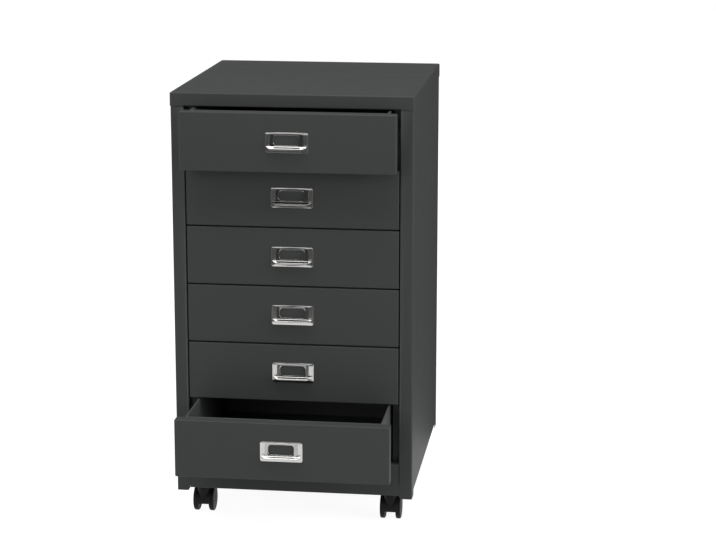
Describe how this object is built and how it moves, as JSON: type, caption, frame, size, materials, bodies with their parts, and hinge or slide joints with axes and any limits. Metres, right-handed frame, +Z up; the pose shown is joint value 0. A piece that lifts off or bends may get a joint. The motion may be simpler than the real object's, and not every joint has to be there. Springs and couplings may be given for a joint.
{
  "type": "small drawer cabinet",
  "caption": "Tall, narrow sheet-metal cabinet of shallow drawers with label-holder pulls, standing on twin-wheel swivel casters; the top and bottom drawers stand open.",
  "frame": {"origin": "on the floor under the middle of the casing, at the level of the wheels' treads", "axes": "+Z up, the drawers open towards -Y, +X to the right as seen from the front"},
  "size_m": [0.37, 0.5308, 0.67],
  "materials": {
    "charcoal_paint": "satin powder coat",
    "tray_paint": "satin powder coat",
    "pull_chrome": "bright nickel-chrome plate",
    "zinc_steel": "zinc plated",
    "black_plastic": "satin moulded",
    "wheel_plastic": "matte moulded"
  },
  "bodies": {
    "casing": {"top_cap": "charcoal_paint", "side_panel_left": "charcoal_paint", "side_panel_right": "charcoal_paint", "front_rail": "charcoal_paint", "base_plate": "charcoal_paint", "back_panel": "charcoal_paint", "back_panel_screws": "zinc_steel", "rear_upright_left": "charcoal_paint", "rear_upright_right": "charcoal_paint", "runner_1_left": "charcoal_paint", "runner_1_right": "charcoal_paint", "runner_2_left": "charcoal_paint", "runner_2_right": "charcoal_paint", "runner_3_left": "charcoal_paint", "runner_3_right": "charcoal_paint", "runner_4_left": "charcoal_paint", "runner_4_right": "charcoal_paint", "runner_5_left": "charcoal_paint", "runner_5_right": "charcoal_paint", "runner_6_left": "charcoal_paint", "runner_6_right": "charcoal_paint", "caster_front_left_stem": "zinc_steel", "caster_front_right_stem": "zinc_steel", "caster_rear_left_stem": "zinc_steel", "caster_rear_right_stem": "zinc_steel", "caster_nuts": "zinc_steel"},
    "drawer_1": {"drawer_1_front": "charcoal_paint", "drawer_1_tray": "tray_paint", "drawer_1_pull": "pull_chrome"},
    "drawer_2": {"drawer_2_front": "charcoal_paint", "drawer_2_tray": "tray_paint", "drawer_2_pull": "pull_chrome"},
    "drawer_3": {"drawer_3_front": "charcoal_paint", "drawer_3_tray": "tray_paint", "drawer_3_pull": "pull_chrome"},
    "drawer_4": {"drawer_4_front": "charcoal_paint", "drawer_4_tray": "tray_paint", "drawer_4_pull": "pull_chrome"},
    "drawer_5": {"drawer_5_front": "charcoal_paint", "drawer_5_tray": "tray_paint", "drawer_5_pull": "pull_chrome"},
    "drawer_6": {"drawer_6_front": "charcoal_paint", "drawer_6_tray": "tray_paint", "drawer_6_pull": "pull_chrome"},
    "caster_front_left_swivel": {"caster_front_left_hood": "black_plastic", "caster_front_left_axle": "zinc_steel"},
    "caster_front_left_wheel_left": {"caster_front_left_wheel_left": "wheel_plastic"},
    "caster_front_left_wheel_right": {"caster_front_left_wheel_right": "wheel_plastic"},
    "caster_front_right_swivel": {"caster_front_right_hood": "black_plastic", "caster_front_right_axle": "zinc_steel"},
    "caster_front_right_wheel_left": {"caster_front_right_wheel_left": "wheel_plastic"},
    "caster_front_right_wheel_right": {"caster_front_right_wheel_right": "wheel_plastic"},
    "caster_rear_left_swivel": {"caster_rear_left_hood": "black_plastic", "caster_rear_left_axle": "zinc_steel"},
    "caster_rear_left_wheel_left": {"caster_rear_left_wheel_left": "wheel_plastic"},
    "caster_rear_left_wheel_right": {"caster_rear_left_wheel_right": "wheel_plastic"},
    "caster_rear_right_swivel": {"caster_rear_right_hood": "black_plastic", "caster_rear_right_axle": "zinc_steel"},
    "caster_rear_right_wheel_left": {"caster_rear_right_wheel_left": "wheel_plastic"},
    "caster_rear_right_wheel_right": {"caster_rear_right_wheel_right": "wheel_plastic"}
  },
  "joints": [
    {"name": "drawer_1_slide", "type": "slide", "parent": "casing", "child": "drawer_1", "axis": [0, -1, 0], "range_m": [-0.044, 0.226]},
    {"name": "drawer_2_slide", "type": "slide", "parent": "casing", "child": "drawer_2", "axis": [0, -1, 0], "range_m": [0, 0.27]},
    {"name": "drawer_3_slide", "type": "slide", "parent": "casing", "child": "drawer_3", "axis": [0, -1, 0], "range_m": [0, 0.27]},
    {"name": "drawer_4_slide", "type": "slide", "parent": "casing", "child": "drawer_4", "axis": [0, -1, 0], "range_m": [0, 0.27]},
    {"name": "drawer_5_slide", "type": "slide", "parent": "casing", "child": "drawer_5", "axis": [0, -1, 0], "range_m": [0, 0.27]},
    {"name": "drawer_6_slide", "type": "slide", "parent": "casing", "child": "drawer_6", "axis": [0, -1, 0], "range_m": [-0.114, 0.156]},
    {"name": "caster_front_left_turn", "type": "hinge", "parent": "casing", "child": "caster_front_left_swivel", "pos_m": [-0.148, -0.1755, 0.045], "axis": [0, 0, 1], "continuous": true},
    {"name": "caster_front_left_roll_left", "type": "hinge", "parent": "caster_front_left_swivel", "child": "caster_front_left_wheel_left", "pos_m": [-0.148, -0.1635, 0.02], "axis": [1, 0, 0], "continuous": true},
    {"name": "caster_front_left_roll_right", "type": "hinge", "parent": "caster_front_left_swivel", "child": "caster_front_left_wheel_right", "pos_m": [-0.148, -0.1635, 0.02], "axis": [1, 0, 0], "continuous": true},
    {"name": "caster_front_right_turn", "type": "hinge", "parent": "casing", "child": "caster_front_right_swivel", "pos_m": [0.148, -0.1755, 0.045], "axis": [0, 0, 1], "continuous": true},
    {"name": "caster_front_right_roll_left", "type": "hinge", "parent": "caster_front_right_swivel", "child": "caster_front_right_wheel_left", "pos_m": [0.148, -0.1635, 0.02], "axis": [1, 0, 0], "continuous": true},
    {"name": "caster_front_right_roll_right", "type": "hinge", "parent": "caster_front_right_swivel", "child": "caster_front_right_wheel_right", "pos_m": [0.148, -0.1635, 0.02], "axis": [1, 0, 0], "continuous": true},
    {"name": "caster_rear_left_turn", "type": "hinge", "parent": "casing", "child": "caster_rear_left_swivel", "pos_m": [-0.148, 0.1685, 0.045], "axis": [0, 0, 1], "continuous": true},
    {"name": "caster_rear_left_roll_left", "type": "hinge", "parent": "caster_rear_left_swivel", "child": "caster_rear_left_wheel_left", "pos_m": [-0.148, 0.1805, 0.02], "axis": [1, 0, 0], "continuous": true},
    {"name": "caster_rear_left_roll_right", "type": "hinge", "parent": "caster_rear_left_swivel", "child": "caster_rear_left_wheel_right", "pos_m": [-0.148, 0.1805, 0.02], "axis": [1, 0, 0], "continuous": true},
    {"name": "caster_rear_right_turn", "type": "hinge", "parent": "casing", "child": "caster_rear_right_swivel", "pos_m": [0.148, 0.1685, 0.045], "axis": [0, 0, 1], "continuous": true},
    {"name": "caster_rear_right_roll_left", "type": "hinge", "parent": "caster_rear_right_swivel", "child": "caster_rear_right_wheel_left", "pos_m": [0.148, 0.1805, 0.02], "axis": [1, 0, 0], "continuous": true},
    {"name": "caster_rear_right_roll_right", "type": "hinge", "parent": "caster_rear_right_swivel", "child": "caster_rear_right_wheel_right", "pos_m": [0.148, 0.1805, 0.02], "axis": [1, 0, 0], "continuous": true}
  ]
}
